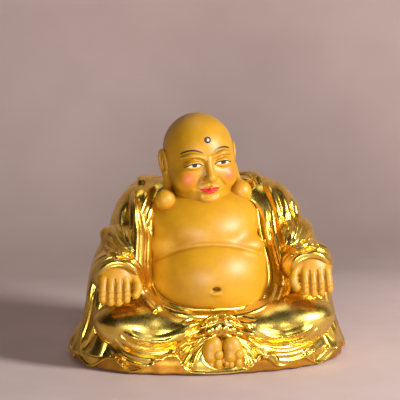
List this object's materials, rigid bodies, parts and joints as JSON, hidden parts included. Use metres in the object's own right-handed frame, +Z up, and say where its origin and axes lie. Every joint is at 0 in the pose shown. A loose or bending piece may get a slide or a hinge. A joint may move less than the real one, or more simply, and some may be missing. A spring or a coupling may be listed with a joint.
{
  "type": "seated laughing monk figurine",
  "caption": "Seated round-bellied monk figurine in a draped gold robe, with a felted plinth and a soft plug in its ballast hole.",
  "frame": {"origin": "middle of the footprint, on the table that the felt rests on", "axes": "+Z up, -Y the way the figure faces, +X towards the figure's left hand"},
  "size_m": [0.1661, 0.112, 0.15],
  "materials": {
    "skin_paint": "satin ochre paint over resin",
    "gold_robe": "bright gold foil over resin",
    "gold_rim": "worn matte gold over resin",
    "gem_glass": "foil-backed faceted stone",
    "felt": "pressed wool felt",
    "soft_plug": "translucent soft vinyl",
    "plaster": "poured plaster",
    "pin_steel": "drawn wire"
  },
  "bodies": {
    "figure": {"base_plinth": "gold_rim", "felt_pad": "felt", "ballast_fill": "plaster", "torso": "skin_paint", "head": "skin_paint", "ear_right": "skin_paint", "ear_left": "skin_paint", "forehead_gem": "gem_glass", "neck_pin": "pin_steel", "robe_shell": "gold_robe", "lap_drape": "gold_robe", "sleeve_right": "gold_robe", "sleeve_left": "gold_robe", "lapel_right": "gold_robe", "lapel_left": "gold_robe", "waist_knot": "gold_robe", "hand_right": "skin_paint", "hand_left": "skin_paint", "foot_right": "skin_paint", "foot_left": "skin_paint", "wrist_pins": "pin_steel", "ankle_pins": "pin_steel"},
    "plug": {"base_plug": "soft_plug"}
  },
  "joints": [
    {"name": "plug_pull", "type": "slide", "parent": "figure", "child": "plug", "axis": [0, 0, -1], "range_m": [0, 0.02]}
  ]
}
